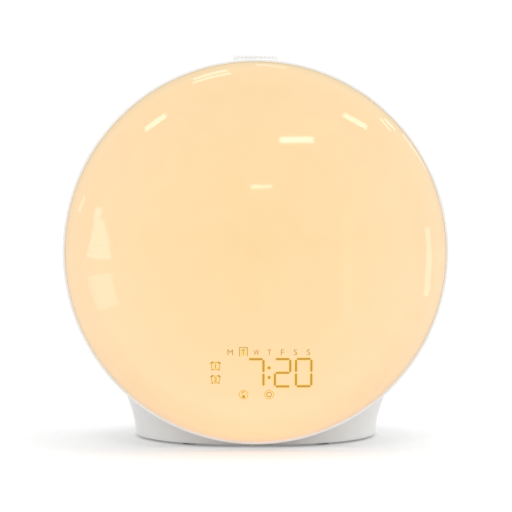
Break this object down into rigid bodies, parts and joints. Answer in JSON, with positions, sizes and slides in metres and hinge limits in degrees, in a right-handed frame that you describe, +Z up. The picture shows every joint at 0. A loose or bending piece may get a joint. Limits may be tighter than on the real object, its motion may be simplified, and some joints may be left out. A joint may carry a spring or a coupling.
{
  "type": "sunrise alarm clock",
  "caption": "Round bedside clock with a glowing opal front, a readout behind it, a flared foot, a knurled knob on top and side keys.",
  "frame": {"origin": "on the floor, under the middle of the clock's width and depth", "axes": "+X to the clock's right as seen from its front, +Y to its back, +Z up"},
  "size_m": [0.185, 0.1216, 0.1894],
  "materials": {
    "opal_diffuser": "opal polycarbonate, glowing amber from behind",
    "white_gloss": "white ABS, moulded, satin gloss",
    "white_shell": "white ABS, moulded, satin gloss with a fine grain",
    "white_keys": "white ABS keys, satin",
    "grey_plastic": "grey ABS, matt",
    "rubber_pads": "soft dark rubber",
    "reflector_white": "white high-reflectance plastic, matt",
    "board_white": "white solder mask",
    "led_amber": "light chips under yellow phosphor",
    "readout_lens": "amber tinted window",
    "readout_light": "glowing digit bars",
    "black_plastic": "black moulded plastic, matt",
    "ivory_plastic": "ivory nylon",
    "board_green": "green solder mask on glass epoxy board",
    "can_aluminium": "drawn aluminium can",
    "steel_plate": "nickel-plated steel",
    "steel_screws": "zinc-plated steel",
    "steel_black": "black painted pressed steel",
    "ferrite": "sintered ferrite, matt dark grey",
    "cone_paper": "black pressed paper",
    "foam_gasket": "closed-cell foam",
    "contact_brass": "spring brass",
    "grey_lead": "flat grey ribbon insulation",
    "red_lead": "red PVC insulation"
  },
  "bodies": {
    "root": {"diffuser_dome": "opal_diffuser", "front_ring": "white_gloss", "rear_shell": "white_shell", "stand": "white_gloss", "stand_plate": "grey_plastic", "stand_pads": "rubber_pads", "reflector": "reflector_white", "led_board": "board_white", "leds": "led_amber", "display_lens": "readout_lens", "display_shroud": "black_plastic", "display_digits": "black_plastic", "display_segments": "readout_light", "display_board": "board_green", "main_board": "board_green", "board_chips": "black_plastic", "board_capacitors": "can_aluminium", "board_connectors": "ivory_plastic", "dc_inlet": "black_plastic", "usb_socket": "steel_plate", "speaker_basket": "steel_black", "speaker_magnet": "ferrite", "speaker_cone": "cone_paper", "speaker_gasket": "foam_gasket", "cell_holder": "ivory_plastic", "cell_contacts": "contact_brass", "coin_cell": "steel_plate", "encoder_body": "black_plastic", "encoder_nut": "steel_plate", "encoder_board": "board_green", "key_board_left": "board_green", "key_board_right": "board_green", "switches_left": "black_plastic", "switches_right": "black_plastic", "ring_screws": "steel_screws", "shell_screws": "steel_screws", "stand_screws": "steel_screws", "board_screws": "steel_screws", "speaker_screws": "steel_screws", "led_screws": "steel_screws", "key_board_screws": "steel_screws", "display_ribbon": "grey_lead", "board_leads": "red_lead"},
    "knob_slider": {"encoder_plunger": "ivory_plastic"},
    "knob_dial": {"knob": "white_gloss", "encoder_shaft": "steel_plate"},
    "encoder_disc": {"encoder_rotor": "ivory_plastic"},
    "cell_door": {"cell_door": "white_gloss"},
    "alarm_1_key": {"alarm_1_key": "white_keys", "alarm_1_stem": "black_plastic"},
    "alarm_2_key": {"alarm_2_key": "white_keys", "alarm_2_stem": "black_plastic"},
    "set_key": {"set_key": "white_keys", "set_stem": "black_plastic"},
    "light_key": {"light_key": "white_keys", "light_stem": "black_plastic"},
    "radio_key": {"radio_key": "white_keys", "radio_stem": "black_plastic"},
    "colour_key": {"colour_key": "white_keys", "colour_stem": "black_plastic"}
  },
  "joints": [
    {"name": "knob_press", "type": "slide", "parent": "root", "child": "knob_slider", "axis": [0, 0, 1], "range_m": [-0.0005, 0], "stiffness_N_per_m": 1200, "springref_m": 0.0006},
    {"name": "knob_turn", "type": "hinge", "parent": "knob_slider", "child": "knob_dial", "pos_m": [0, -0.01975, 0.18], "axis": [0, 0, 1], "continuous": true},
    {"name": "encoder_turn", "type": "hinge", "parent": "root", "child": "encoder_disc", "pos_m": [0, -0.01975, 0.175], "axis": [0, 0, 1], "continuous": true},
    {"name": "cell_door_turn", "type": "hinge", "parent": "root", "child": "cell_door", "pos_m": [0, 0.04425, 0.0623], "axis": [0, -1, 0], "range_deg": [0, 30]},
    {"name": "alarm_1_travel", "type": "slide", "parent": "root", "child": "alarm_1_key", "axis": [-1, 0, 0], "range_m": [-0.0008, 0], "stiffness_N_per_m": 900, "springref_m": 0.0004},
    {"name": "alarm_2_travel", "type": "slide", "parent": "root", "child": "alarm_2_key", "axis": [-1, 0, 0], "range_m": [-0.0008, 0], "stiffness_N_per_m": 900, "springref_m": 0.0004},
    {"name": "set_travel", "type": "slide", "parent": "root", "child": "set_key", "axis": [-1, 0, 0], "range_m": [-0.0008, 0], "stiffness_N_per_m": 900, "springref_m": 0.0004},
    {"name": "light_travel", "type": "slide", "parent": "root", "child": "light_key", "axis": [1, 0, 0], "range_m": [-0.0008, 0], "stiffness_N_per_m": 900, "springref_m": 0.0004},
    {"name": "radio_travel", "type": "slide", "parent": "root", "child": "radio_key", "axis": [1, 0, 0], "range_m": [-0.0008, 0], "stiffness_N_per_m": 900, "springref_m": 0.0004},
    {"name": "colour_travel", "type": "slide", "parent": "root", "child": "colour_key", "axis": [1, 0, 0], "range_m": [-0.0008, 0], "stiffness_N_per_m": 900, "springref_m": 0.0004}
  ],
  "couplings": [
    {"joint": "encoder_turn", "follows": "knob_turn", "ratio": 1}
  ]
}
